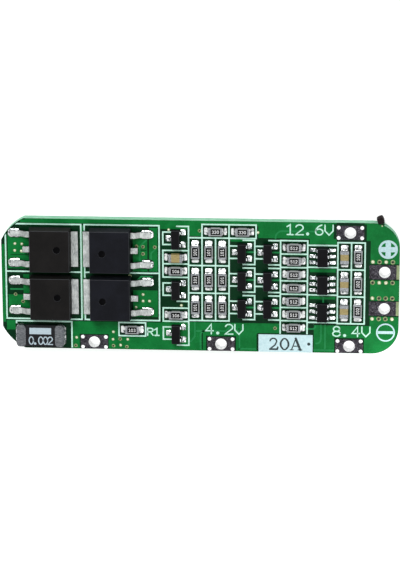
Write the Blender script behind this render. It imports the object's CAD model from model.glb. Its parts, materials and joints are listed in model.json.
# %% [markdown]
# # Dressing a battery management board
#
# The object is a small circuit board that looks after three lithium cells in series. A CAD model
# already gives every part its true size and place. This lesson loads that model as a fixed frame
# and adds what a CAD model leaves out: solder that has flowed, rounded edges, print, and finishes
# that look like lacquer, tin and moulded resin.

# %% Load the frame
import json
import math
import random

import bmesh
import bpy
from mathutils import Matrix, Vector, noise


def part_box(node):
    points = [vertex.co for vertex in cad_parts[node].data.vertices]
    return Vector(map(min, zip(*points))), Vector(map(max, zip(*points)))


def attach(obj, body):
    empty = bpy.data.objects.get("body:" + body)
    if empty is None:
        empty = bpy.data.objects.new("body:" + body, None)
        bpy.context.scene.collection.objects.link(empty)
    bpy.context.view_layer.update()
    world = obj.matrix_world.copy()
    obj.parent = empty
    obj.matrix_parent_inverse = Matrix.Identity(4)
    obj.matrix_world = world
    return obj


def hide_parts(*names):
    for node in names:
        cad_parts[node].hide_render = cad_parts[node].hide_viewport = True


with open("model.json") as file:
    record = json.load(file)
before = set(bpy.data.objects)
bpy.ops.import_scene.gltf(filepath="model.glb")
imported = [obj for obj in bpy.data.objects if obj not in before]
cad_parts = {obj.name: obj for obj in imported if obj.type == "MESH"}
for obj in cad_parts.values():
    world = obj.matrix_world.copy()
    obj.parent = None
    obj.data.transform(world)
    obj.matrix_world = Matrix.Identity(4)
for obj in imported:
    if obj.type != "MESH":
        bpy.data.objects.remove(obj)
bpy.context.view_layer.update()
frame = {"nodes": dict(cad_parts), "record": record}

MM = 0.001
nodes = frame["nodes"]
print("CAD nodes:", len(nodes))

# %% [markdown]
# ## Working in millimetres
#
# Blender measures in metres, and a maker of small electronics thinks in millimetres. Each shape is
# drawn in millimetres in the board's own frame and shrunk once, when it becomes a piece. Places are
# read from the boxes of the CAD nodes, so a piece can't drift away from the part that it dresses.

# %% Read places from the frame
def extent(node):
    """Lowest and highest corner of a CAD node, in millimetres."""
    low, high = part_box(node)
    return low / MM, high / MM


def middle(node):
    low, high = extent(node)
    return (low + high) / 2


board_low, board_high = extent("circuit_board")
BOARD_TOP = 1.6
SEAT = extent("wire_pad_output_plus")[1].z
print("board:", [round(v, 2) for v in board_high - board_low], "seat of the parts:", round(SEAT, 3))

# %% [markdown]
# ## The camera
#
# The board is seen from above through a long lens, from a little beyond its top edge and a little
# to its right. A long lens from far away keeps the rows of parts parallel. The camera is placed by
# where it stands and what it looks at, and its own three axes follow from that with two cross
# products: back from the aim, right across the board's top edge, and up in the picture.

# %% Camera
CAMERA_PLACE = Vector((26.73, 111.27, 392.7))
CAMERA_AIM = Vector((0.04, 0.16, 1.6))
CAMERA_ROLL = -0.15
CAMERA_LENS = 173.7
NEAREST_SEEN = 0.01

camera_data = bpy.data.cameras.new("camera")
camera_data.lens = CAMERA_LENS
camera_data.clip_start = NEAREST_SEEN
camera = bpy.data.objects.new("camera", camera_data)
camera.location = CAMERA_PLACE * MM
back = (CAMERA_PLACE - CAMERA_AIM).normalized()
right = Vector((0, 1, 0)).cross(back).normalized()
up = back.cross(right)
axes = Matrix((right, up, back)).transposed()
camera.rotation_euler = (axes @ Matrix.Rotation(math.radians(CAMERA_ROLL), 3, "Z")).to_euler()
bpy.context.scene.collection.objects.link(camera)
bpy.context.scene.camera = camera
bpy.context.scene.view_settings.view_transform = "Standard"
print("camera distance in mm:", round((CAMERA_AIM - CAMERA_PLACE).length))

# %% [markdown]
# ## Shader maths
#
# A finish is a recipe of nodes. Written with `nodes.new` and `links.new`, even a short sum takes a
# dozen lines, so `Value` wraps a node's output and lets Python's own signs add the Math nodes.
# `Finish.node` makes every other node: its settings go in first, because some of them change which
# sockets the node has, and then its values or links.

# %% Values
class Value:
    """One output of a node. Arithmetic on it adds Math nodes."""

    def __init__(self, finish, socket):
        self.finish = finish
        self.socket = socket

    def math(self, operation, *others):
        sockets = dict(enumerate([self, *others]))
        return self.finish.node("ShaderNodeMath", {"operation": operation}, sockets)

    def __add__(self, other):
        return self.math("ADD", other)

    def __sub__(self, other):
        return self.math("SUBTRACT", other)

    def __mul__(self, other):
        return self.math("MULTIPLY", other)

    def __rsub__(self, other):
        return self * -1 + other

    __radd__ = __add__
    __rmul__ = __mul__

    def between(self, low, high):
        """0 below low, 1 above high, and a smooth step from one to the other."""
        settings = {"interpolation_type": "SMOOTHSTEP"}
        return self.finish.node("ShaderNodeMapRange", settings, {0: self, 1: low, 2: high})


print("values add up by themselves")

# %% Finishes
NOISE_ROUGHNESS = 0.55


class Finish:
    """A material, and the nodes that make it."""

    def __init__(self, name):
        self.material = bpy.data.materials.new(name)
        self.material.use_nodes = True
        self.tree = self.material.node_tree
        self.tree.nodes.clear()
        self.place = self.node("ShaderNodeTexCoord", output="Object")

    def node(self, kind, settings=None, sockets=None, output=0):
        made = self.tree.nodes.new(kind)
        for name, setting in (settings or {}).items():
            setattr(made, name, setting)
        for key, value in (sockets or {}).items():
            if isinstance(value, Value):
                self.tree.links.new(value.socket, made.inputs[key])
            else:
                made.inputs[key].default_value = value
        return Value(self, made.outputs[output]) if made.outputs else None

    def noise(self, size, detail=3, stretch=(1, 1, 1)):
        """Cloudy pattern from 0 to 1 with features about size millimetres across."""
        scale = [1 / (size * MM * s) for s in stretch]
        place = self.node("ShaderNodeMapping", sockets={"Vector": self.place, "Scale": scale})
        sockets = {"Vector": place, "Scale": 1, "Detail": detail, "Roughness": NOISE_ROUGHNESS}
        return self.node("ShaderNodeTexNoise", sockets=sockets)

    def mix(self, factor, first, second):
        sockets = {0: factor, 6: first, 7: second}
        return self.node("ShaderNodeMix", {"data_type": "RGBA"}, sockets, output=2)

    def bump(self, height, depth):
        """Normal of a surface whose height, from 0 to 1, stands for depth millimetres."""
        sockets = {"Height": height, "Distance": depth * MM, "Strength": 1}
        return self.node("ShaderNodeBump", sockets=sockets)

    def surface(self, **sockets):
        """Joins the recipe to a Principled shader and returns the material."""
        named = {key.replace("_", " "): value for key, value in sockets.items()}
        shader = self.node("ShaderNodeBsdfPrincipled", sockets=named)
        self.node("ShaderNodeOutputMaterial", sockets={0: shader})
        print("finish:", self.material.name)
        return self.material


def paint(*chart):
    """A colour given as the 0 to 255 of a paint chart, turned into the linear light of a shader."""
    return [pow((c / 255 + 0.055) / 1.055, 2.4) if c > 10 else c / 255 / 12.92 for c in chart] + [1]


print("finish recipes ready")

# %% [markdown]
# ## Finishes of two tones
#
# Most small surfaces share one recipe. Their colour drifts in soft patches between a dark and a
# pale tone, their roughness drifts a little, and a fine relief breaks up the reflections. One
# function makes such a finish, and each surface gives it its own tones and sizes.

# %% Two tones
def two_tone(name, dark, pale, patches, levels, rough, relief, **constants):
    """patches: a noise's size and detail, and levels: where it turns pale. rough: a roughness, how
    far it drifts and over what size. relief: a depth, with a noise's size and detail."""
    finish = Finish(name)
    tone = finish.noise(*patches)
    if levels:
        tone = tone.between(*levels)
    roughness, *drift = rough
    if drift:
        roughness = roughness + finish.noise(*drift[1:]) * drift[0]
    return finish.surface(
        Base_Color=finish.mix(tone, paint(*dark), paint(*pale)),
        Roughness=roughness,
        Normal=finish.bump(finish.noise(*relief[1:]), relief[0]),
        **constants,
    )


print("recipe ready")

# %% [markdown]
# ## Floor, sky and lamps
#
# A product picture is taken on white paper under large soft lamps. The paper is plain, but it has
# to look white all the way to the edge and still keep a little shadow under the board. So camera
# rays see part of it as a steady glow, and the rest as paper that the lamps light. The sky does the
# same: rays from the camera and from shiny metal find white, and matt surfaces get a plainer fill.

# %% Floor
def straight_rays(finish):
    """1 for rays from the camera, a mirror or glass, and 0 for those that light matt surfaces."""
    kinds = ("Is Camera Ray", "Is Glossy Ray", "Is Transmission Ray")
    rays = [finish.node("ShaderNodeLightPath", output=kind) for kind in kinds]
    return rays[0].math("MAXIMUM", rays[1]).math("MAXIMUM", rays[2])


FLOOR_SIDE = 3000
FLOOR_SQUARES = 8
FLOOR_DROP = 0.03
PAPER_GLOW = 0.62
WHITE = (1, 1, 1, 1)
paper = Finish("paper")
grain = paper.noise(0.6).between(0.3, 0.7)
pulp = paper.mix(grain, paint(205, 205, 205), paint(212, 212, 212))
lit_paper = paper.node("ShaderNodeBsdfDiffuse", sockets={0: pulp})
glow = paper.node("ShaderNodeEmission", sockets={0: WHITE, 1: PAPER_GLOW})
seen = paper.node("ShaderNodeAddShader", sockets={0: lit_paper, 1: glow})
both = paper.node("ShaderNodeMixShader", sockets={0: straight_rays(paper), 1: lit_paper, 2: seen})
paper.node("ShaderNodeOutputMaterial", sockets={0: both})

sheet = bmesh.new()
bmesh.ops.create_grid(sheet, x_segments=FLOOR_SQUARES, y_segments=FLOOR_SQUARES, size=FLOOR_SIDE / 2 * MM)
floor_mesh = bpy.data.meshes.new("floor")
sheet.to_mesh(floor_mesh)
sheet.free()
floor_mesh.materials.append(paper.material)
floor = bpy.data.objects.new("floor", floor_mesh)
floor.location.z = -FLOOR_DROP * MM
bpy.context.scene.collection.objects.link(floor)
print("floor:", FLOOR_SIDE, "mm square")

# %% Sky and lamps
FILL = 0.42
sky = bpy.data.worlds.new("sky")
sky.use_nodes = True
bpy.context.scene.world = sky
sky.node_tree.nodes.clear()


class Sky(Finish):
    """The world's nodes, made with the same recipe calls as a finish."""

    def __init__(self, world):
        self.tree = world.node_tree


above = Sky(sky)
fill = above.node("ShaderNodeBackground", sockets={0: WHITE, 1: FILL})
white = above.node("ShaderNodeBackground", sockets={0: WHITE, 1: 1})
seen_sky = above.node("ShaderNodeMixShader", sockets={0: straight_rays(above), 1: fill, 2: white})
above.node("ShaderNodeOutputWorld", sockets={0: seen_sky})


def lamp(name, place, aim, side, watts):
    data = bpy.data.lights.new(name, "AREA")
    data.shape = "DISK"
    data.size = side * MM
    data.energy = watts
    light = bpy.data.objects.new(name, data)
    light.location = Vector(place) * MM
    light.rotation_euler = (Vector(aim) - Vector(place)).to_track_quat("-Z", "Y").to_euler()
    bpy.context.scene.collection.objects.link(light)


lamp("key_lamp", (-140, 330, 420), (0, 0, 0), 220, 1.75)
lamp("side_lamp", (90, -170, 400), (22, -8, 0), 150, 0.4)
lamp("corner_lamp", (30.5, -12.6, 6.2), (27.6, -9.2, 1.6), 4, 0.0005)

# %% [markdown]
# ## From a drawn shape to a piece
#
# Every piece ends the same way: its mesh is shrunk to metres, its finishes are attached, its gentle
# corners are shaded smooth, and it is told what it rides on, which material slot it belongs to and
# which CAD nodes it stands for.

# %% Piece maker
def piece(name, shape, finishes, slot, *stands_for, crease=32):
    """Turns a bmesh drawn in millimetres into a piece of the board."""
    bmesh.ops.recalc_face_normals(shape, faces=shape.faces)
    bmesh.ops.scale(shape, vec=(MM, MM, MM), verts=shape.verts)
    mesh = bpy.data.meshes.new(name)
    shape.to_mesh(mesh)
    shape.free()
    for finish in finishes:
        mesh.materials.append(finish)
    mesh.shade_smooth()
    mesh.set_sharp_from_angle(angle=math.radians(crease))
    made = bpy.data.objects.new(name, mesh)
    bpy.context.scene.collection.objects.link(made)
    made.modifiers.new("even_shading", "WEIGHTED_NORMAL").keep_sharp = True
    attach(made, "root")
    if stands_for:
        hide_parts(*stands_for)
    print("piece:", name, "with", len(mesh.polygons), "faces")


print("piece maker ready")

# %% Blocks and rounded edges
def wall(shape, low, high, finish=0):
    """Joins two loops of points by a closed wall."""
    faces = []
    for i in range(len(low)):
        j = (i + 1) % len(low)
        faces.append(shape.faces.new((low[i], low[j], high[j], high[i])))
        faces[-1].material_index = finish
    return faces


def prism(shape, outline, z0, z1, finish=0):
    """Stands a flat outline up from z0 to z1."""
    low = [shape.verts.new((x, y, z0)) for x, y in outline]
    high = [shape.verts.new((x, y, z1)) for x, y in outline]
    ends = [shape.faces.new(reversed(low)), shape.faces.new(high)]
    for face in ends:
        face.material_index = finish
    return ends + wall(shape, low, high, finish)


def block(shape, centre, size, z0, z1, finish=0):
    """A box on its centre."""
    (x, y), (l, w) = centre, size
    corners = [(x - l / 2, y - w / 2), (x + l / 2, y - w / 2), (x + l / 2, y + w / 2), (x - l / 2, y + w / 2)]
    return prism(shape, corners, z0, z1, finish)


def bevel(shape, edges, radius, segments):
    options = {"segments": segments, "profile": 0.5, "affect": "EDGES", "clamp_overlap": True}
    bmesh.ops.bevel(shape, geom=edges, offset=radius, **options)


def round_edges(shape, faces, radius, segments=2, shortest=0):
    """Rounds the sharp edges of these faces, but not those that are too short to take the radius."""
    edges = {e for f in faces for e in f.edges if e.is_manifold and e.calc_face_angle(0) > math.radians(30)}
    long_edges = [e for e in edges if e.calc_length() > shortest]
    bevel(shape, long_edges, radius, segments)


print("blocks ready")

# %% Curves and lines
END_STEPS = 6
SHARPEST_TURN = 0.5


def oval(x, y, rx, ry, start, end, steps=14):
    """Points along part of an oval, between two angles in degrees."""
    turns = [math.radians(start + (end - start) * i / steps) for i in range(steps + 1)]
    return [(x + rx * math.cos(a), y + ry * math.sin(a)) for a in turns]


def arc(centre, radius, start, end, steps=10):
    return oval(*centre, radius, radius, start, end, steps)


def ribbon(line, width):
    """Outline of a drawn line with round ends."""
    half = width / 2
    points = [Vector(p) for p in line]
    left, right = [], []
    for before, p, after in zip(points[:1] + points, points, points[1:] + points[-1:]):
        ways = [(b - a).normalized() for a, b in ((before, p), (p, after)) if a != b]
        across = sum((Vector((-w.y, w.x)) for w in ways), Vector((0, 0))).normalized()
        reach = half / max(SHARPEST_TURN, across.dot(Vector((-ways[0].y, ways[0].x))))
        left.append(p + across * reach)
        right.append(p - across * reach)
    ends = []
    for tip, inner in ((points[-1], points[-2]), (points[0], points[1])):
        way = tip - inner
        start = math.atan2(way.y, way.x) + math.pi / 2
        steps = [start - math.pi * k / END_STEPS for k in range(1, END_STEPS)]
        ends.append([tip + Vector((math.cos(a), math.sin(a))) * half for a in steps])
    return left + ends[0] + right[::-1] + ends[1]


def draw_line(shape, line, width, z0, z1, finish=0):
    prism(shape, [tuple(p) for p in ribbon(line, width)], z0, z1, finish)


print("lines end in", END_STEPS, "steps")

# %% Rings and turned shapes
RING_STEPS = 40


def hoop(shape, centre, radius, z, steps):
    """A loop of points round an upright axis."""
    x, y = centre
    turns = [2 * math.pi * i / steps for i in range(steps)]
    return [shape.verts.new((x + radius * math.cos(a), y + radius * math.sin(a), z)) for a in turns]


def draw_ring(shape, centre, outer, inner, z0, z1, finish=0):
    """A flat ring, like a washer."""
    corners = ((outer, z0), (outer, z1), (inner, z1), (inner, z0))
    rims = [hoop(shape, centre, radius, z, RING_STEPS) for radius, z in corners]
    for rim, following in zip(rims, rims[1:] + rims[:1]):
        wall(shape, rim, following, finish)


def turned(shape, centre, profile, steps=14, finishes=None):
    """Turns a profile of (radius, height) points about an upright axis and closes both ends."""
    finishes = finishes or [0] * len(profile)
    rings = [hoop(shape, centre, radius, z, steps) for radius, z in profile]
    for ring, following, finish in zip(rings, rings[1:], finishes):
        wall(shape, ring, following, finish)
    shape.faces.new(rings[0][::-1]).material_index = finishes[0]
    shape.faces.new(rings[-1]).material_index = finishes[-1]


print("rings have", RING_STEPS, "steps")

# %% [markdown]
# ## Solder mask and laminate
#
# The board is woven glass set in resin, and its edge shows that as a pale, slightly streaky green.
# Both faces are covered in a glossy green lacquer, the solder mask. Where copper lies beneath it
# the green is bright, and where only laminate lies beneath it the green is deep. One material
# covers the whole board: the direction of the surface tells a face from an edge.

# %% Mask and laminate
def mask_colour(finish, deep, bright):
    clouds = finish.noise(2.2, detail=2).between(0.3, 0.7)
    specks = finish.noise(0.22).between(0.35, 0.75)
    return finish.mix(clouds * 0.6 + specks * 0.4, deep, bright)


def mask_gloss(finish):
    return 0.24 + finish.noise(1.2, detail=4) * 0.16


MASK_SHINE = 0.05
MASK_DEPTH = 0.006


def mask_normal(finish):
    return finish.bump(finish.noise(0.7) + finish.noise(0.13, detail=2) * 0.4, MASK_DEPTH)


def flatness(finish):
    """1 where the surface lies flat on the board, and 0 where it stands upright."""
    normal = finish.node("ShaderNodeNewGeometry", output="Normal")
    return finish.node("ShaderNodeSeparateXYZ", sockets={0: normal}, output=2).math("ABSOLUTE")


mask = Finish("solder_mask")
is_face = flatness(mask).between(0.5, 0.7)
weave = mask.noise(0.5, detail=4, stretch=(3, 3, 0.35)).between(0.35, 0.65)
laminate = mask.mix(weave, paint(132, 204, 166), paint(180, 234, 204))
lacquer = mask_colour(mask, paint(2, 38, 18), paint(5, 54, 27))
FIBRE_ROUGHNESS = 0.65
mask.surface(
    Base_Color=mask.mix(is_face, laminate, lacquer),
    Roughness=is_face * (mask_gloss(mask) - FIBRE_ROUGHNESS) + FIBRE_ROUGHNESS,
    Specular_IOR_Level=MASK_SHINE,
    Normal=mask_normal(mask),
)

# %% Mask over copper
def raised_mask(name, deep, bright):
    """The same lacquer where it lies over copper."""
    finish = Finish(name)
    return finish.surface(
        Base_Color=mask_colour(finish, deep, bright),
        Roughness=mask_gloss(finish),
        Specular_IOR_Level=MASK_SHINE,
        Normal=mask_normal(finish),
    )


bright_mask = raised_mask("mask_over_copper", paint(8, 102, 44), paint(20, 124, 58))
trace_mask = raised_mask("mask_over_trace", paint(26, 124, 66), paint(42, 138, 80))

# %% Finishes for the CAD nodes
def dress(node, finish):
    """Gives a CAD node its finish, and leaves its shape alone."""
    slots = nodes[node].material_slots
    for slot in slots:
        slot.link = "OBJECT"
        slot.material = finish
    print(node, "has", len(slots), "material slot(s)")


dress("circuit_board", mask.material)

# %% [markdown]
# ## Copper under the mask
#
# Copper is etched from one sheet, so it lies in broad fields with narrow channels between them, and
# it lifts the lacquer by a few hundredths of a millimetre. The fields are drawn as rectangles, some
# of copper and some that clear it away again. Their corners cut the board into a coarse grid, and
# the squares that stay copper are raised together as one sheet. No rectangle ever overlaps another
# in the finished mesh, which a simple heap of boxes would do.

# %% Raising copper
COPPER_RISE = 0.018


def copper_fields(shape, copper, clear, z0, z1, corner):
    """Raises what the copper rectangles cover and the clear ones don't.

    A rectangle is x0, x1, y0, y1. The corners are rounded by less than half the narrowest step.
    """
    xs = sorted({v for r in copper + clear for v in r[:2]})
    ys = sorted({v for r in copper + clear for v in r[2:]})
    corners = {}

    def at(x, y):
        if (x, y) not in corners:
            corners[x, y] = shape.verts.new((x, y, z0))
        return corners[x, y]

    def covers(rectangles, x, y):
        return any(r[0] < x < r[1] and r[2] < y < r[3] for r in rectangles)

    faces = []
    for x0, x1 in zip(xs, xs[1:]):
        for y0, y1 in zip(ys, ys[1:]):
            x, y = (x0 + x1) / 2, (y0 + y1) / 2
            if covers(copper, x, y) and not covers(clear, x, y):
                faces.append(shape.faces.new((at(x0, y0), at(x1, y0), at(x1, y1), at(x0, y1))))
    made = bmesh.ops.extrude_face_region(shape, geom=faces, use_keep_orig=True)["geom"]
    raised = dict.fromkeys(g for g in made if isinstance(g, bmesh.types.BMVert))
    bmesh.ops.translate(shape, vec=(0, 0, z1 - z0), verts=list(raised))
    upright = [e for v in raised for e in v.link_edges if e.other_vert(v) not in raised]
    turns = [e for e in upright if e.is_manifold and e.calc_face_angle(0) > 0.5]
    bevel(shape, turns, corner, 3)


print("a field rises", COPPER_RISE, "mm")

# %% Copper of the front
TOP_COPPER = [
    (-26.6, 19.75, 9.32, 9.8), (-25.9, 24.6, 9.8, 9.97), (-1.45, 0.18, 7.65, 9.32),
    (8.65, 19.75, 7.5, 9.32), (16.25, 20.2, 6.65, 7.5),
    (-29.46, -29.02, -6, 6), (-28.55, -25.4, 2.3, 7.75), (-28.55, -25.4, -4.7, -1.75),
    (-26.3, -25.4, -1.75, 1.4),
    (-17.5, -17.22, -5.25, 9), (-9.9, -7.75, 2.1, 8), (-7.5, -6.25, 2.1, 8.8), (-9.9, -6.25, -4.9, -0.8),
    (-19.0, -5.65, -9.97, -5.75), (-28.9, -27.6, -7.2, -5.75), (-1.45, 8.6, -9.97, -5.6),
    (8.6, 11.8, -7.1, -5.6),
    (16.3, 20.1, 2.4, 2.95), (16.3, 20.1, -1.75, -1.3), (-5.2, -4.2, 9.0, 9.8),
    (4.55, 8.0, 6.9, 7.25), (12.2, 15.8, 4.95, 5.05), (-5.65, -1.45, -9.97, -5.6), (-6.25, -1.45, 8.65, 9.32),
]
TOP_CLEAR = [
    (-18.0, -13.65, -10, -7.7), (-12.25, -7.85, -8.1, -5.75), (0.9, 5.4, -10, -7.65),
    (20.0, 24.4, -10, -7.65), (20.16, 24.26, 7.42, 10), (-28.1, -25.4, 4.35, 4.45),
    (-27.9, -25.4, 7.3, 7.4), (-8.9, -7.9, 5.3, 5.42),
    (5.75, 5.9, -9.82, -6.4), (0.3, 0.45, -9.82, -6.9), (0.3, 5.9, -6.9, -6.78), (8.45, 8.6, -9.82, -7.2),
]
fields = bmesh.new()
copper_fields(fields, TOP_COPPER, TOP_CLEAR, BOARD_TOP, BOARD_TOP + COPPER_RISE, corner=0.018)

RIGHT_EDGE = board_high.x - 0.03
CORNER = 3.97
END_Y = 9.97
upper_end = [(25.2, 3.8), (RIGHT_EDGE, 3.8)] + arc((RIGHT_EDGE - CORNER, END_Y - CORNER), CORNER, 0, 90)
upper_end += [(24.6, END_Y), (24.6, 7.3), (25.2, 7.3)]
lower_end = [(25.2, -4.3), (25.2, -5.75), (16.95, -5.75), (16.95, -END_Y), (20.0, -END_Y), (20.0, -7.65)]
lower_end += [(24.4, -7.65), (24.4, -END_Y)]
lower_end += arc((RIGHT_EDGE - CORNER, CORNER - END_Y), CORNER, 270, 360) + [(RIGHT_EDGE, -4.3)]
middle_end = [(25.2, 1.3), (25.2, -1.8), (RIGHT_EDGE, -1.8), (RIGHT_EDGE, 1.3)]
for outline in (upper_end, lower_end, middle_end):
    prism(fields, outline, BOARD_TOP, BOARD_TOP + COPPER_RISE)
piece("copper_fields", fields, [bright_mask], "solder_mask")

# %% Bare edge strips
bare = Finish("bare_edge")
bare_fibre = bare.noise(0.25, detail=4, stretch=(0.5, 2, 1)).between(0.3, 0.7)
bare.surface(
    Base_Color=bare.mix(bare_fibre, paint(112, 132, 92), paint(152, 164, 120)),
    Roughness=0.6,
    Normal=bare.bump(bare_fibre, 0.01),
)
STRIP_END = board_high.x - 0.01
STRIP_RISE = 0.012
bare_strips = bmesh.new()
for name in ("wire_pad_output_plus", "wire_pad_output_minus"):
    low, high = extent(name)
    corners = [(high.x, low.y), (STRIP_END, low.y), (STRIP_END, high.y), (high.x, high.y)]
    prism(bare_strips, corners, BOARD_TOP, BOARD_TOP + STRIP_RISE)
piece("bare_edge_strips", bare_strips, [bare.material], "tinned_pad")

# %% Copper of the back
BACK_COPPER = [
    (-28.9, 24.8, -9.6, 9.6), (25.1, 29.0, -1.8, 1.3), (25.1, 28.9, 3.9, 6.4), (25.1, 28.9, -6.4, -4.4),
]
BACK_CLEAR = [
    (-30, -26.6, 7.0, 10), (-30, -26.6, -10, -7.0), (-18.2, -13.5, -10, -7.5), (0.8, 5.5, -10, -7.5),
    (19.9, 24.5, -10, -7.5), (19.9, 24.5, 7.1, 10), (-11.2, -11.0, -9.6, 5), (-11.0, 5.0, 4.85, 5.0),
    (5.0, 5.2, -4.2, 5.0), (5.2, 15, -4.2, -4.05), (14.85, 15, -4.05, 9.6),
]
back_fields = bmesh.new()
copper_fields(back_fields, BACK_COPPER, BACK_CLEAR, -COPPER_RISE, 0, corner=0.09)
piece("back_copper_fields", back_fields, [bright_mask], "solder_mask")

# %% [markdown]
# ## Traces
#
# Single traces run as narrow raised ribbons with round ends and rounded turns. Each is a drawn line
# given a width, which keeps the list short and easy to change.

# %% Traces
TRACE_W = 0.24
TRACE_RISE = COPPER_RISE + 0.012
traces = bmesh.new()
TRACES = [
    [(11.2, 7.45)] + arc((12.2, 7.6), 1.0, 180, 90, 6) + [(19.0, 8.6)],
    [(15.3, -6.35), (16.7, -6.35)] + arc((16.7, -5.85), 0.5, 270, 360, 5)[1:],
    [(18.0, -5.75), (18.0, -7.9)] + arc((17.3, -7.9), 0.7, 0, -90, 6),
    [(18.62, -5.75), (18.62, -9.4)],
    [(17.0, -9.6), (19.9, -9.6)],
    [(5.9, -9.6), (5.9, -7.9)] + arc((5.3, -7.3), 0.6, 0, 90, 5),
    [(5.95, -9.6), (8.3, -9.6)],
    [(-0.75, -5.7), (-0.75, -7.8), (-1.35, -8.6)],
    [(0.1, -9.7), (0.1, -7.6)] + arc((0.8, -7.6), 0.7, 180, 90, 5) + [(3.9, -6.9), (4.9, -5.8)],
    [(-0.55, -6.95), (0.75, -6.95)],
    [(-8.9, 3.4), (-8.9, 5.9), (-7.9, 6.9), (-7.9, 8.2)],
    [(-7.2, 2.4), (-7.2, 4.9), (-6.5, 5.6)],
    [(-9.6, 0.4), (-8.7, 1.3), (-7.1, 1.3)],
    [(-28.2, -0.9), (-26.4, -0.9)],
    [(18.3, -1.45), (18.3, -2.2)],
]
TRACES += [[(x, y), (x + 1.3, y)] for x in (6.95, 10.75) for y in (5.32, 1.07, -3.18)]
for line in TRACES:
    draw_line(traces, line, TRACE_W, BOARD_TOP, BOARD_TOP + TRACE_RISE)
piece("traces", traces, [trace_mask], "solder_mask")
print("traces:", len(TRACES))

# %% [markdown]
# ## Vias and plated holes
#
# A via is a tiny plated hole that joins the two faces. Some are left open with a bright ring of tin
# round a dark hole, and some are filled with solder and shine like a bead. Both are turned from one
# profile: a rim, a shoulder and a floor. The big wire holes get a thin plated sleeve as well.
#
# Bare metal mirrors a bright room where it lies flat and darker things on its steep flanks. All the
# bare metals here share one recipe with a tone for each.

# %% Metals
def metal(finish, flat, steep, band, rough, height, depth, metallic=1.0, sway=0.0):
    """Ends a bare metal: one tone where it lies flat, and another where it is steep."""
    lies_flat = (flatness(finish) + sway).between(*band)
    return finish.surface(
        Base_Color=finish.mix(lies_flat, paint(*steep), flat),
        Metallic=metallic,
        Roughness=rough,
        Normal=finish.bump(height, depth),
    )


print("metal recipe ready")

# %% Solder
tin = Finish("fresh_solder")
crinkle = tin.noise(0.35, detail=4)
flat_tin = tin.mix(crinkle.between(0.4, 0.54), paint(96, 104, 106), paint(226, 230, 229))
gloss = 0.14 + tin.noise(0.5, detail=2) * 0.2
relief = crinkle + tin.noise(0.12) * 0.4
metal(tin, flat_tin, (6, 8, 8), (0.72, 0.96), gloss, relief, 0.035, sway=crinkle * 0.2 - 0.1)

smooth_tin = Finish("smooth_solder")
ripples = smooth_tin.noise(0.4)
flat_smooth = smooth_tin.mix(ripples.between(0.34, 0.5), paint(128, 134, 136), paint(232, 235, 234))
gloss = 0.16 + smooth_tin.noise(0.5, detail=2) * 0.2
metal(smooth_tin, flat_smooth, (6, 8, 8), (0.72, 0.94), gloss, ripples, 0.025, sway=ripples * 0.16 - 0.08)

# %% Lands and vias
land = Finish("tinned_land")
sparkle = land.noise(0.1, detail=2).between(0.58, 0.72)
dull_land = land.mix(land.noise(0.8).between(0.35, 0.7), paint(30, 28, 33), paint(58, 55, 62))
land.surface(
    Base_Color=land.mix(sparkle * 0.8, dull_land, paint(128, 125, 132)),
    Metallic=0.85,
    Roughness=0.5 - sparkle * 0.2,
    Normal=land.bump(land.noise(0.16, detail=4), 0.03),
)
for name in nodes:
    if name.startswith("wire_pad_"):
        dress(name, land.material)

ring_metal = two_tone(
    "via_ring", (98, 112, 74), (146, 158, 116), (0.2,), (0.35, 0.65), (0.4, 0.15, 0.1), (0.01, 0.12),
    Metallic=0.8,
)
cream = two_tone(
    "filled_via", (164, 172, 138), (220, 224, 200), (0.12,), (0.3, 0.6), (0.35, 0.2, 0.1), (0.02, 0.12),
    Metallic=0.5,
)
dark_hole = two_tone("dark_hole", (14, 22, 14), (34, 42, 28), (0.15,), None, (0.8,), (0.01, 0.1))

# %% Via shapes
vias = bmesh.new()


def via(centre, profile, finishes):
    """Profile of (radius, height above the board)."""
    turned(vias, centre, [(radius, BOARD_TOP + rise) for radius, rise in profile], finishes=finishes)


def ringed_via(centre, outer=0.27, inner=0.13):
    profile = [(outer, 0), (outer, 0.03), (outer - 0.05, 0.05), (inner + 0.02, 0.05), (inner, 0.03)]
    via(centre, profile, [0, 0, 0, 0, 1])


def filled_via(centre, radius=0.23):
    profile = [(radius, 0), (radius, 0.03), (radius * 0.72, 0.04), (radius * 0.45, 0.08), (0.02, 0.09)]
    via(centre, profile, [0, 0, 2, 2, 2])


print("via shapes ready")

# %% Vias in their places
RINGED = [
    (-27.5, -1.7), (-26.4, -2.8), (-8.4, 5.9), (-8.4, 4.8), (-6.65, 5.85), (0, 8.47), (11.2, -6.33),
    (-12.93, -9.47), (-11.93, -8.4), (-10.93, -9.6), (-18.6, -9.53), (-10.4, 1.35), (-9.35, 5.95),
]
FILLED = [
    (-27.45, 6.1), (-26.4, 6.05), (-27.5, 5.05), (-26.5, 4.95), (-8.45, -1.45), (-8.45, -2.45), (-7.5, -2.45),
    (-9.5, -3.45), (-4.57, 8.53), (-2.73, -3.03), (8.6, 8.33), (-18.47, -8.27), (-12.93, -7.3),
    (-13.0, -8.47), (-11.87, -9.36), (-10.8, -8.43),
]
RINGED_BIG, FILLED_BIG = [], []
BIG_RING = (0.35, 0.19)
BIG_BEAD, SMALL_BEAD = 0.3, 0.13
TEST_POINT = (26.84, 9.6)
first_x = middle("wire_pad_output_plus").x - 1.5
VIA_PITCH = 0.98
OUTPUT_ROWS = [
    ("plus", 1.56, "FRFR"), ("plus", -1.6, "RFFR"), ("minus", 1.58, "FRRR"), ("minus", -1.58, "FRRF"),
]
for sign, offset, kinds in OUTPUT_ROWS:
    for column, kind in enumerate(kinds):
        spot = (first_x + column * VIA_PITCH, middle(f"wire_pad_output_{sign}").y + offset)
        (FILLED_BIG if kind == "F" else RINGED_BIG).append(spot)
for spot in RINGED:
    ringed_via(spot)
for spot in RINGED_BIG:
    ringed_via(spot, *BIG_RING)
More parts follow.
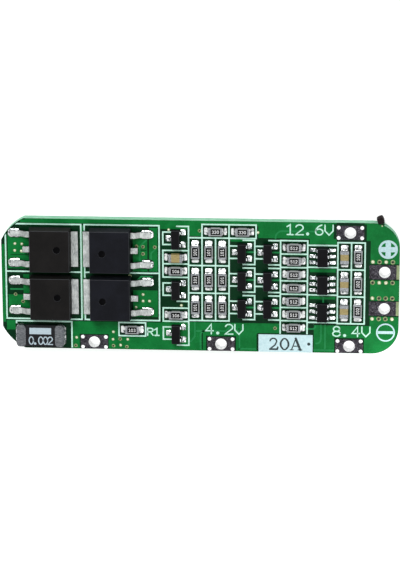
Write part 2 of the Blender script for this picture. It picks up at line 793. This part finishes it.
for spot in FILLED:
    filled_via(spot)
for spot in FILLED_BIG:
    filled_via(spot, BIG_BEAD)
filled_via(TEST_POINT, SMALL_BEAD)
piece("vias", vias, [ring_metal, dark_hole, cream], "solder")
print("vias:", len(RINGED + RINGED_BIG), "open and", len(FILLED + FILLED_BIG) + 1, "filled")

# %% Plated sleeves
HOLE_R = 0.85
SLEEVE_T = 0.03
SLEEVE_FOOT = 0.005
SLEEVE_LIP = 0.01
sleeve_metal = two_tone(
    "hole_plating", (226, 228, 228), (250, 250, 250), (0.2,), (0.3, 0.7), (0.45, 0.15, 0.2), (0.01, 0.2),
    Metallic=0.6,
)
sleeves = bmesh.new()
holes = {}
for mount in frame["record"]["mounts"]:
    if mount["kind"] == "bore":
        holes[mount["name"]] = [v / MM for v in mount["pos_m"][:2]]
for centre in holes.values():
    draw_ring(sleeves, centre, HOLE_R, HOLE_R - SLEEVE_T, SLEEVE_FOOT, SEAT + SLEEVE_LIP)
piece("wire_hole_sleeves", sleeves, [sleeve_metal], "tinned_pad")

VIA_R, VIA_X, VIA_Y = 0.25, 1.72, 0.78
PLUG = [(VIA_R - 0.01, 0.01), (VIA_R - 0.01, SEAT), (VIA_R + 0.03, SEAT + 0.015)]
PLUG += [(VIA_R * 0.6, SEAT + 0.05), (0.04, SEAT + 0.06)]
plugs = bmesh.new()
for name, (x, y) in holes.items():
    if "output" in name:
        continue
    for side_x in (-VIA_X, VIA_X):
        for side_y in (-VIA_Y, VIA_Y):
            turned(plugs, (x + side_x, y + side_y), PLUG)
piece("corner_via_plugs", plugs, [sleeve_metal], "solder")
print("sleeves:", len(holes), "plugged vias:", 4 * sum("output" not in name for name in holes))

# %% [markdown]
# ## Print
#
# The white ink on a board is screened on, so it is a thin matt film with slightly soft edges. The
# outlines round the parts are already in the CAD model. The figures are drawn with a pen plotter's
# alphabet: each sign is a few strokes of one width, and every stroke becomes a ribbon with round
# ends. Only the few signs that the board needs are defined.

# %% Ink
ink = two_tone(
    "print_ink", (160, 220, 194), (200, 242, 226), (0.25, 4), (0.2, 0.6), (0.55, 0.15, 0.3), (0.01, 0.12)
)
dress("silkscreen", ink)

# %% A plotter's alphabet
SIGNS = {
    "0": [oval(0.3, 0.5, 0.28, 0.5, 0, 360, 20)],
    "1": [[(0.1, 0.8), (0.34, 1), (0.34, 0)], [(0.12, 0), (0.56, 0)]],
    "2": [oval(0.3, 0.71, 0.28, 0.29, 165, -35) + [(0.0, 0.0), (0.6, 0.0)]],
    "3": [oval(0.28, 0.75, 0.26, 0.25, 150, -80, 10), oval(0.28, 0.26, 0.3, 0.27, 80, -150, 10)],
    "4": [[(0.42, 0), (0.42, 1), (0, 0.32), (0.57, 0.32)]],
    "5": [[(0.54, 1), (0.1, 1), (0.06, 0.54)] + oval(0.28, 0.31, 0.29, 0.31, 125, -150)],
    "6": [[(0.5, 1.0), (0.3, 0.9), (0.14, 0.7), (0.04, 0.45)] + oval(0.31, 0.3, 0.28, 0.3, 155, 515)],
    "8": [oval(0.3, 0.75, 0.24, 0.25, 0, 360), oval(0.3, 0.26, 0.29, 0.26, 0, 360)],
    "V": [[(0, 1), (0, 0.42), (0.31, 0), (0.62, 0.42), (0.62, 1)]],
    "R": [[(0, 0), (0, 1)] + oval(0.3, 0.75, 0.28, 0.25, 90, -90, 8) + [(0, 0.5)], [(0.3, 0.5), (0.58, 0)]],
}
POINT = [[(0.17, 0.09), (0.18, 0.09)]]
POINT_WIDTH = 2.3
STROKE_STEP = 0.001


def write(shape, text, corner, height, pitch, pen, z0, z1, finish=0, spread=1.0):
    """Draws text from its lower left corner. pitch is the step from sign to sign, spread widens them."""
    left, foot = corner
    for i, sign in enumerate(text):
        width = pen if sign in SIGNS else pen * POINT_WIDTH
        for k, stroke in enumerate(SIGNS.get(sign, POINT)):
            line = [(left + x * height * spread + i * pitch, foot + y * height) for x, y in stroke]
            draw_line(shape, line, width, z0, z1 + STROKE_STEP * k, finish)


print("signs:", "".join(SIGNS))

# %% Names and voltages
marks = bmesh.new()
INK_TOP = BOARD_TOP + 0.045
for text, corner, height, pitch in (
    ("12.6V", (12.7, 8.1), 1.5, 1.44), ("8.4V", (19.75, -7.4), 1.5, 1.44), ("4.2V", (0.9, -7.35), 1.5, 1.44),
    ("R1", (-7.8, -7.75), 1.1, 0.92),
):
    write(marks, text, corner, height, pitch, 0.2, BOARD_TOP, INK_TOP, spread=1.28)
print("marks:", len(marks.faces), "faces")

# %% Plus and minus signs
worn_ink = two_tone(
    "worn_print", (156, 196, 200), (190, 220, 224), (0.25, 4), (0.2, 0.6), (0.6,), (0.01, 0.12)
)
SIGN_TOP = INK_TOP - 0.002
PLUS, MINUS = (27.77, 6.03), (27.57, -6.7)
PLUS_RING, MINUS_RING = (1.42, 1.1), (1.4, 1.19)
MINUS_BAR = (2.3, 0.42)
draw_ring(marks, PLUS, *PLUS_RING, BOARD_TOP, INK_TOP, 1)
draw_ring(marks, MINUS, *MINUS_RING, BOARD_TOP, INK_TOP, 1)
ARM, REACH = 0.39, 1.24
cross = [(ARM, REACH), (-ARM, REACH), (-ARM, ARM), (-REACH, ARM), (-REACH, -ARM), (-ARM, -ARM)]
cross += [(-x, -y) for x, y in cross]
prism(marks, [(PLUS[0] + x, PLUS[1] + y) for x, y in cross], BOARD_TOP, SIGN_TOP, 1)
block(marks, MINUS, MINUS_BAR, BOARD_TOP, SIGN_TOP, 1)
piece("printed_marks", marks, [ink, worn_ink], "print_ink")

# %% [markdown]
# ## The label
#
# A small paper label with a plastic face gives the current rating. It was cut square and stuck on
# by hand over the lacquer. The figures have thick and thin strokes, as printed type has, so each
# stroke here has a width of its own.

# %% Label and its figures
paper_label = Finish("label_film")
fibres = paper_label.noise(0.3, detail=4).between(0.3, 0.7)
paper_label.surface(
    Base_Color=paper_label.mix(fibres, paint(190, 222, 228), paint(208, 236, 240)),
    Roughness=0.5 + fibres * 0.1,
    Normal=paper_label.bump(paper_label.noise(0.2), 0.008),
)
dress("rating_label", paper_label.material)

label_ink = two_tone("label_ink", (0, 30, 32), (8, 52, 52), (0.1,), (0.5, 0.8), (0.6,), (0.005, 0.1))
label_low, label_high = extent("rating_label")
LABEL_H = 1.85
LABEL_PEN = 1.12
LABEL_CORNER = (label_low.x + 1.55, label_low.y + 0.32)
LABEL_POINT = (label_high.x - 0.57, label_low.y + 1.3)
POINT_R = 0.24
LABEL_INK_TOP = label_high.z + 0.006
LABEL_SIGNS = [
    (0, oval(0.36, 0.72, 0.27, 0.25, 170, 0, 8), 0.2), (0, [(0.63, 0.72), (0.5, 0.42), (0.08, 0.06)], 0.19),
    (0, [(0.08, 0.06), (0.68, 0.06), (0.72, 0.22)], 0.24), (0.86, oval(0.4, 0.5, 0.3, 0.46, 0, 360, 24), 0.2),
    (0.86, oval(0.4, 0.5, 0.33, 0.4, 60, -60, 8), 0.22), (0.86, oval(0.4, 0.5, 0.33, 0.4, 120, 240, 8), 0.22),
    (1.76, [(0.06, 0.03), (0.4, 0.97)], 0.14), (1.76, [(0.4, 0.97), (0.76, 0.03)], 0.32),
    (1.76, [(0.18, 0.34), (0.6, 0.34)], 0.14), (1.76, [(-0.05, 0.03), (0.2, 0.03)], 0.13),
    (1.76, [(0.58, 0.03), (0.9, 0.03)], 0.13),
]
figures = bmesh.new()
for k, (start, stroke, width) in enumerate(LABEL_SIGNS):
    points = [(LABEL_CORNER[0] + (x + start) * LABEL_H, LABEL_CORNER[1] + y * LABEL_H) for x, y in stroke]
    draw_line(figures, points, width * LABEL_PEN, label_high.z, LABEL_INK_TOP + STROKE_STEP / 2 * k)
turned(figures, LABEL_POINT, [(POINT_R, label_high.z), (POINT_R, LABEL_INK_TOP)], 16)
piece("label_figures", figures, [label_ink], "label_film")
print("label is", [round(v, 2) for v in label_high - label_low])

# %% [markdown]
# ## Rounded edges on moulded and stamped parts
#
# No real edge is perfectly sharp, and the thin bright line along a rounded edge is what makes a
# dark body readable. `softened` copies a CAD node's solid, melts its triangles back into flat
# faces and rounds the sharp edges between them. The copy stands for its node, so the size and the
# place stay true.

# %% Softened copies
def softened(node, name, radius, finish, slot, shortest=0):
    shape = bmesh.new()
    shape.from_mesh(nodes[node].data)
    bmesh.ops.scale(shape, vec=(1 / MM, 1 / MM, 1 / MM), verts=shape.verts)
    bmesh.ops.remove_doubles(shape, verts=shape.verts, dist=1e-4)
    bmesh.ops.dissolve_limit(shape, angle_limit=math.radians(2), verts=shape.verts, edges=shape.edges)
    for face in shape.faces:
        face.material_index = 0
    round_edges(shape, shape.faces, radius, shortest=shortest)
    piece(name, shape, [finish], slot, node, crease=50)


def moulding(name, dark, pale, grain_mm=0.09):
    """Epoxy filled with glass powder: almost black, matt, with a fine pale grain."""
    resin = Finish(name)
    grain = resin.noise(grain_mm)
    stain = resin.noise(2.5).between(0.35, 0.7)
    level = flatness(resin)
    rubbed = level.between(0.3, 0.5) * (1 - level.between(0.86, 0.98))
    body = resin.mix(grain.between(0.5, 0.85) * 0.7 + stain * 0.3, dark, pale)
    return resin.surface(
        Base_Color=resin.mix(rubbed * 0.7, body, paint(78, 80, 84)),
        Roughness=0.5 + resin.noise(0.4) * 0.15,
        Specular_IOR_Level=0.08,
        Normal=resin.bump(grain + resin.noise(0.5, detail=2) * 0.5, 0.012),
    )


warm_resin = moulding("warm_moulding", paint(15, 14, 14), paint(34, 32, 31))
cool_resin = moulding("cool_moulding", paint(13, 14, 19), paint(31, 33, 42))
small_resin = moulding("small_moulding", paint(6, 6, 8), paint(24, 24, 28), 0.07)


def cases(part, numbers, radius, resin, shortest=0):
    for i in numbers:
        softened(f"{part}_body_{i}", f"{part}_case_{i}", radius, resin, "moulding", shortest)


cases("power_transistor", (1, 2), 0.09, warm_resin, 0.2)
cases("power_transistor", (3, 4), 0.09, cool_resin, 0.2)

# %% Ejector marks
MARK_X, MARK_Y, MARK_R, MARK_DEEP = 1.1, 0.24, 0.53, 0.08
MARK_RISE, MARK_STEPS = 0.01, 32
swirl = (0.3, 3)
pin_mark = two_tone(
    "ejector_mark", (4, 4, 5), (10, 10, 12), swirl, None, (0.2, 0.1, *swirl), (0.01, *swirl),
    Specular_IOR_Level=0.02,
)
pin_marks = bmesh.new()
for i in range(1, 5):
    low, high = extent(f"power_transistor_body_{i}")
    side = -1 if i < 3 else 1
    spot = ((low.x + high.x) / 2 - side * MARK_X, (low.y + high.y) / 2 - side * MARK_Y)
    floor_z = high.z - MARK_DEEP
    turned(pin_marks, spot, [(MARK_R, floor_z), (MARK_R - 0.05, floor_z + MARK_RISE)], MARK_STEPS)
piece("ejector_marks", pin_marks, [pin_mark], "moulding")

# %% Small cases
cases("switch_transistor", range(1, 10), 0.06, small_resin)
cases("protection_chip", (1, 2, 3), 0.06, small_resin)

# %% [markdown]
# ## Leads and tabs
#
# The power transistors stand on a stamped copper frame with a dull tin plate. Its tab shows faint
# marks across it, and its leads were drawn through a die, so both have a fine grain in one
# direction. The leads of the small parts were wetted by solder and are brighter.

# %% Lead finishes
plate = Finish("dull_tin_plate")
grain_lines = plate.noise(0.16, detail=4, stretch=(0.6, 2.2, 1)).between(0.25, 0.8)
blotches = plate.noise(0.9).between(0.3, 0.7)
flat_plate = plate.mix(grain_lines * 0.6 + blotches * 0.4, paint(122, 127, 126), paint(202, 206, 204))
gloss = 0.38 + grain_lines * 0.15
metal(plate, flat_plate, (58, 62, 62), (0.35, 0.8), gloss, grain_lines, 0.012, metallic=0.9)

bright_lead = Finish("wetted_lead")
ripple = bright_lead.noise(0.18)
flat_lead = bright_lead.mix(ripple.between(0.3, 0.7), paint(112, 118, 122), paint(204, 208, 208))
metal(bright_lead, flat_lead, (8, 9, 10), (0.6, 0.92), 0.2 + ripple * 0.12, ripple, 0.02)
for i in range(1, 5):
    softened(f"power_transistor_metal_{i}", f"power_transistor_frame_{i}", 0.05, plate.material, "lead_metal")
for node in ("switch_transistor_leads", "protection_chip_leads"):
    dress(node, bright_lead.material)

# %% [markdown]
# ## The current shunt
#
# The shunt is a low resistor that measures the battery's current. A black core holds the metal,
# and a nickel strap with rounded corners folds over each end. The strap is drawn as a rounded
# plate on top and a plate down the end, both with their edges rounded.

# %% Shunt finishes
strap_low, strap_high = extent("shunt_straps")
core_low, core_high = extent("shunt_body")
STRAP_L = 1.35
STRAP_T = 0.2
STRAP_CORNER = 0.5
shunt_mid = (strap_low + strap_high) / 2
shunt_w = strap_high.y - strap_low.y

nickel = Finish("brushed_nickel")
brush = nickel.noise(0.12, detail=5, stretch=(3.5, 0.7, 1)).between(0.25, 0.8)
flat_nickel = nickel.mix(brush, paint(58, 61, 65), paint(122, 125, 128))
metal(nickel, flat_nickel, (196, 200, 202), (0.2, 0.75), 0.36 + brush * 0.15, brush, 0.012, metallic=0.9)
shunt_black = two_tone(
    "shunt_core", (12, 13, 16), (30, 32, 38), (0.3, 4), (0.4, 0.8), (0.3, 0.15, 0.2), (0.012, 0.25),
    Specular_IOR_Level=0.15,
)
strap_ink = two_tone("shunt_print", (164, 184, 196), (196, 214, 222), (0.2,), None, (0.5,), (0.008, 0.12))

# %% Shunt straps
def rounded_plate(centre, size, corner):
    """Outline of a plate with rounded corners."""
    (x, y), (l, w) = centre, size
    outline = []
    for sx, sy, start in ((1, 1, 0), (-1, 1, 90), (-1, -1, 180), (1, -1, 270)):
        outline += arc((x + sx * (l / 2 - corner), y + sy * (w / 2 - corner)), corner, start, start + 90, 6)
    return outline


TOP_SOFT, WALL_SOFT, FOOT_SOFT = 0.08, 0.04, 0.06
WALL_GAP = 0.07
straps = bmesh.new()
for side, outer in ((1, strap_high.x), (-1, strap_low.x)):
    plan = rounded_plate((outer - side * STRAP_L / 2, shunt_mid.y), (STRAP_L, shunt_w), STRAP_CORNER)
    top = prism(straps, plan, strap_high.z - STRAP_T, strap_high.z)
    round_edges(straps, top, TOP_SOFT, 3)
    down = (outer - side * (STRAP_T / 2 + 0.04), shunt_mid.y)
    wall_size = (STRAP_T, shunt_w - 2 * STRAP_CORNER)
    round_edges(straps, block(straps, down, wall_size, SEAT + WALL_GAP, strap_high.z - WALL_GAP), WALL_SOFT)
    round_edges(straps, prism(straps, plan, SEAT, SEAT + STRAP_T), FOOT_SOFT)
piece("shunt_end_straps", straps, [nickel.material], "shunt_strap", "shunt_straps", crease=40)

# %% Shunt core and its print
CORE_SOFT, CROWN_SOFT = 0.05, 0.06
PRINT_LOW, PRINT_TOP = core_high.z - 0.01, core_high.z + 0.012
BAR_CENTRE, BAR_SIZE = (shunt_mid.x, shunt_mid.y + 0.78), (3.25, 0.98)
TEXT_CORNER = (shunt_mid.x - 1.72, shunt_mid.y - 1.28)
TEXT_H, TEXT_PITCH, TEXT_PEN = 1.15, 0.71, 0.16
shunt_centre = (shunt_mid.x, shunt_mid.y)
between_size = (core_high.x - core_low.x - 2 * STRAP_T, shunt_w - 0.02)
crown_size = (strap_high.x - strap_low.x - 2 * STRAP_L + 0.1, shunt_w)
core = bmesh.new()
between = block(core, shunt_centre, between_size, SEAT + STRAP_T, strap_high.z - STRAP_T)
round_edges(core, between, CORE_SOFT)
round_edges(core, block(core, shunt_centre, crown_size, SEAT, core_high.z), CROWN_SOFT)
block(core, BAR_CENTRE, BAR_SIZE, PRINT_LOW, PRINT_TOP, 1)
write(core, "0.002", TEXT_CORNER, TEXT_H, TEXT_PITCH, TEXT_PEN, PRINT_LOW, PRINT_TOP, finish=1)
piece("shunt_core_block", core, [shunt_black, strap_ink], "shunt_core", "shunt_body")
print("shunt top at", round(strap_high.z, 2))

# %% [markdown]
# ## Chip resistors and capacitors
#
# A chip resistor is a slab of white ceramic. A black glassy film lies on top with a value code,
# and silver caps wrap both ends. A ceramic capacitor is a tan block with the same caps. Both are
# drawn once, lying along X, and set down at each place with a turn. The code is a plain number.

# %% Chip finishes
ceramic = two_tone("white_ceramic", (128, 133, 133), (164, 168, 168), (0.15,), None, (0.6,), (0.006, 0.08))
film = two_tone(
    "resistor_film", (1, 1, 2), (8, 8, 10), (0.2,), (0.4, 0.8), (0.32, 0.15, 0.15), (0.008, 0.2),
    Specular_IOR_Level=0.02,
)
cap_metal = Finish("end_cap")
cap_patches = cap_metal.noise(0.14, detail=4).between(0.3, 0.7)
flat_cap = cap_metal.mix(cap_patches, paint(90, 93, 96), paint(148, 151, 154))
gloss = 0.36 + cap_metal.noise(0.1) * 0.16
metal(cap_metal, flat_cap, (4, 4, 5), (0.7, 0.97), gloss, cap_metal.noise(0.14), 0.015, metallic=0.9)
code_ink = two_tone("code_ink", (226, 230, 230), (252, 252, 252), (0.1,), None, (0.6,), (0.004, 0.08))
streaks = (0.25, 4, (1, 1, 0.3))
tan_ceramic = two_tone(
    "tan_ceramic", (140, 124, 76), (166, 150, 98), streaks, (0.3, 0.7), (0.5, 0.1, *streaks), (0.01, *streaks)
)
RESISTOR_FINISHES = [ceramic, cap_metal.material, film, code_ink]
CAPACITOR_FINISHES = [tan_ceramic, cap_metal.material]

# %% Chip shapes
def measures(node):
    low, high = extent(node)
    return high - low


CHIP_L, CHIP_W, RESISTOR_H = measures("sense_resistor")
CAPACITOR_H = measures("control_capacitor").z
CAP_L = 0.36
CAP_SOFT, SLAB_SOFT, BODY_SOFT = 0.08, 0.03, 0.1
SLAB_INSET = 0.03
CODE_H, CODE_PITCH, CODE_PEN = 0.42, 0.37, 0.07
print("chip:", [round(v, 2) for v in (CHIP_L, CHIP_W, RESISTOR_H)], "capacitor:", round(CAPACITOR_H, 2))


def end_caps(shape, height, cap_l):
    for side in (-1, 1):
        cap = block(shape, (side * (CHIP_L - cap_l) / 2, 0), (cap_l, CHIP_W), 0, height, 1)
        round_edges(shape, cap, CAP_SOFT, 3)


def resistor_shape(code):
    shape = bmesh.new()
    slab = block(shape, (0, 0), (CHIP_L - 0.1, CHIP_W - 0.04), SLAB_INSET, RESISTOR_H - SLAB_INSET)
    round_edges(shape, slab, SLAB_SOFT)
    end_caps(shape, RESISTOR_H - 0.01, CAP_L)
    film_plan = rounded_plate((0, 0), (CHIP_L - 2 * CAP_L + 0.12, CHIP_W - 0.38), 0.08)
    glaze = prism(shape, film_plan, RESISTOR_H - SLAB_INSET - 0.01, RESISTOR_H, 2)
    round_edges(shape, glaze, 0.012)
    start = Vector((-(len(code) - 1) * CODE_PITCH / 2 - 0.3 * CODE_H, -CODE_H / 2))
    write(shape, code, start, CODE_H, CODE_PITCH, CODE_PEN, RESISTOR_H - 0.005, RESISTOR_H + 0.003, finish=3)
    return shape


def capacitor_shape(cap_l):
    shape = bmesh.new()
    body = block(shape, (0, 0), (CHIP_L - 0.1, CHIP_W - 0.05), 0.03, CAPACITOR_H - 0.025)
    round_edges(shape, body, BODY_SOFT, 3)
    end_caps(shape, CAPACITOR_H - 0.005, cap_l)
    return shape


def upright_turn(x, y, z, degrees):
    """Sets a shape down at a place, turned about an upright axis."""
    return Matrix.Translation((x, y, z)) @ Matrix.Rotation(math.radians(degrees), 4, "Z")


def set_down(shape, centre, angle):
    bmesh.ops.transform(shape, matrix=upright_turn(*centre, SEAT, angle), verts=shape.verts)
    return shape

# %% Chips in their places
CODES = {"bleed": "101", "ladder": "512", "filter": "102", "sense": "103", "control": "106", "supply": "330"}
FILTER_CAP_L, CONTROL_CAP_L = 0.54, 0.38
chip_spots = []


def chip_spot(node, first=True):
    """Centre and turn of a chip. A node that holds two chips is asked for each by its own end."""
    low, high = extent(node)
    upright = high.y - low.y > high.x - low.x and high.x - low.x < CHIP_L * 0.9
    half = Vector((CHIP_W, CHIP_L)) / 2 if upright else Vector((CHIP_L, CHIP_W)) / 2
    across = node == "control_resistors"
    if first:
        spot = Vector((low.x + half.x, (high.y - half.y) if across else low.y + half.y))
    else:
        spot = Vector((high.x - half.x, (low.y + half.y) if across else high.y - half.y))
    return spot, 90 if upright else 0


for node in sorted(nodes):
    kind = node.split("_")[0]
    if "_resistor" in node:
        pair = node.endswith("resistors")
        shape = bmesh.new()
        for first in (True, False) if pair else (True,):
            spot, angle = chip_spot(node, first)
            chip_spots.append((spot, angle, RESISTOR_H))
            chip = set_down(resistor_shape(CODES[kind]), spot, angle)
            scratch = bpy.data.meshes.new("scratch")
            chip.to_mesh(scratch)
            shape.from_mesh(scratch)
            chip.free()
            bpy.data.meshes.remove(scratch)
        piece(f"{node}_chip", shape, RESISTOR_FINISHES, "resistor_ceramic", node)
    elif "_capacitor" in node:
        spot, angle = chip_spot(node)
        chip_spots.append((spot, angle, CAPACITOR_H))
        shape = capacitor_shape(FILTER_CAP_L if kind == "filter" else CONTROL_CAP_L)
        piece(f"{node}_chip", set_down(shape, spot, angle), CAPACITOR_FINISHES, "capacitor_ceramic", node)
print("chips:", len(chip_spots))

# %% [markdown]
# ## Solder
#
# Melted solder climbs whatever it wets and pulls itself into a hollow curve, so it is highest at
# the metal and runs out thin at the edge of its copper land. Each joint here is a small height
# field: at every point of a rounded land, the height depends on how far that point is from the foot
# or the end cap. A seeded random swell keeps any two joints from being twins.

# %% One joint
random.seed(7)
SOLDER_ROOT = 0.02
JOINT_STEPS = 12
joints = bmesh.new()


def solder_joint(spot, angle, heel, toe, width, foot_w, climb, corner=0.3, base=0.045, finish=0):
    """A joint at a part's end. spot is the end of the foot, and the toe runs along +X before the turn.

    base is the height of the pool, and climb is what the solder adds to it beside the foot.
    """
    corner = min(width / 2, corner)
    swell = random.uniform(0.85, 1.12)
    lean = random.uniform(-0.12, 0.12)
    turn = upright_turn(*spot, 0, angle)
    rows = []
    for i in range(JOINT_STEPS + 1):
        u = -heel + (heel + toe) * math.sin(math.pi / 2 * i / JOINT_STEPS)
        past = max(0.0, (u - (toe - corner)) / corner)
        half = width / 2 - corner + corner * math.sqrt(max(0.0, 1 - past * past))
        row = []
        for j in range(JOINT_STEPS + 1):
            across = -math.cos(math.pi * j / JOINT_STEPS)
            v = half * across
            far = math.hypot(max(0.0, u), max(0.0, abs(v) - foot_w / 2))
            fall = max(0.0, 1 - far / toe)
            rim = min(1.0, (1 - abs(across)) * 5, (toe - u) / toe * 6)
            pool = base * math.sqrt(max(0.0, rim))
            slope = climb * swell * fall * fall * (1 + lean * across) * min(1.0, rim * 1.5 + 0.1)
            row.append(joints.verts.new(turn @ Vector((u, v, BOARD_TOP + (pool + slope)))))
        rows.append(row)
    for a, b in zip(rows, rows[1:]):
        for j in range(JOINT_STEPS):
            joints.faces.new((a[j], b[j], b[j + 1], a[j + 1])).material_index = finish
    rim = [row[0] for row in rows] + rows[-1][1:] + [row[-1] for row in rows[-2::-1]] + rows[0][-2:0:-1]
    under = [joints.verts.new((v.co.x, v.co.y, BOARD_TOP - SOLDER_ROOT)) for v in rim]
    for k in range(len(rim)):
        joints.faces.new((rim[k], under[k], under[k - 1], rim[k - 1])).material_index = finish
    joints.faces.new(under).material_index = finish


print("one joint has", (JOINT_STEPS + 1) ** 2, "points on top")

# %% Joints in their places
CHIP_JOINT = dict(heel=0.38, toe=0.72, width=CHIP_W - 0.02, foot_w=CHIP_W - 0.1, finish=1)
SOT_JOINT = dict(heel=0.4, toe=0.3, width=0.95, foot_w=0.42, climb=0.09, corner=0.16)
IC_JOINT = dict(heel=0.4, toe=0.55, width=0.58, foot_w=0.42, climb=0.08, corner=0.2)
FET_JOINT = dict(heel=1.3, toe=0.4, width=1.5, foot_w=0.9, climb=0.12, corner=0.6, base=0.1)
STRAP_JOINT = dict(heel=0.3, toe=0.22, width=shunt_w - 0.1, foot_w=shunt_w - 0.3, climb=0.12, corner=0.5)
CHIP_CLIMB, CHIP_CLIMB_PART = 0.36, 0.7
SOT_TIP, IC_TIP, SMALL_PITCH = 1.2, 1.4, 0.95
FET_REACH, FET_PITCH = 6.0, 2.285

for spot, angle, height in chip_spots:
    climb = min(CHIP_CLIMB, height * CHIP_CLIMB_PART)
    for side in (0, 180):
        turn = Matrix.Rotation(math.radians(angle + side), 2)
        end = spot + turn @ Vector((CHIP_L / 2 - 0.02, 0))
        solder_joint(end, angle + side, climb=climb, **CHIP_JOINT)
for i in range(1, 10):
    centre = middle(f"switch_transistor_body_{i}")
    for x, y, angle in ((SOT_TIP, SMALL_PITCH, 0), (SOT_TIP, -SMALL_PITCH, 0), (-SOT_TIP, 0, 180)):
        solder_joint((centre.x + x, centre.y + y), angle, **SOT_JOINT)
for i in range(1, 4):
    centre = middle(f"protection_chip_body_{i}")
    for reach, angle in ((IC_TIP, 0), (-IC_TIP, 180)):
        for row in (-SMALL_PITCH, 0, SMALL_PITCH):
            solder_joint((centre.x + reach, centre.y + row), angle, **IC_JOINT)
for i in range(1, 5):
    centre = middle(f"power_transistor_body_{i}")
    reach, angle = (-FET_REACH, 180) if i < 3 else (FET_REACH, 0)
    for row in (-FET_PITCH, FET_PITCH):
        solder_joint((centre.x + reach, centre.y + row), angle, **FET_JOINT)
for x, angle in ((strap_high.x, 0), (strap_low.x, 180)):
    solder_joint((x, shunt_mid.y), angle, **STRAP_JOINT)
piece("solder_fillets", joints, [tin.material, smooth_tin.material], "solder", "solder_joints", crease=80)

# %% [markdown]
# ## The break-off nub
#
# Boards are made in panels and snapped apart. One stub of the panel's frame is left on the top
# edge, scorched dark by the router. It is a lump of torn laminate, so a finely cut block is
# pushed about with smooth noise until its faces are ragged.

# %% Nub
burnt = two_tone(
    "scorched_laminate", (10, 8, 10), (48, 40, 40), (0.12, 4), (0.35, 0.7), (0.8,), (0.02, 0.08),
    Specular_IOR_Level=0.1,
)
NUB = (26.6, 10.32)
NUB_TURN = 22
NUB_SIZE = (0.98, 0.98, 2.4, 1)
TORN_TOP, NUB_FOOT = BOARD_TOP + 0.06, 0.02
BOX_PART, BALL_PART, RAGGED = 0.55, 0.25, 0.08
lump = bmesh.new()
bmesh.ops.create_cube(lump, size=1)
bmesh.ops.subdivide_edges(lump, edges=lump.edges, cuts=5, use_grid_fill=True)
for vert in lump.verts:
    vert.co = vert.co * BOX_PART + vert.co.normalized() * BALL_PART
    vert.co += vert.co.normalized() * noise.noise(vert.co * 6) * RAGGED
turn = upright_turn(*NUB, BOARD_TOP / 2, NUB_TURN) @ Matrix.Diagonal(NUB_SIZE)
bmesh.ops.transform(lump, matrix=turn, verts=lump.verts)
for vert in lump.verts:
    torn = TORN_TOP + noise.noise(vert.co * 3) * 0.1
    vert.co.z = min(max(vert.co.z, NUB_FOOT), torn)
piece("break_off_nub", lump, [burnt], "solder_mask")
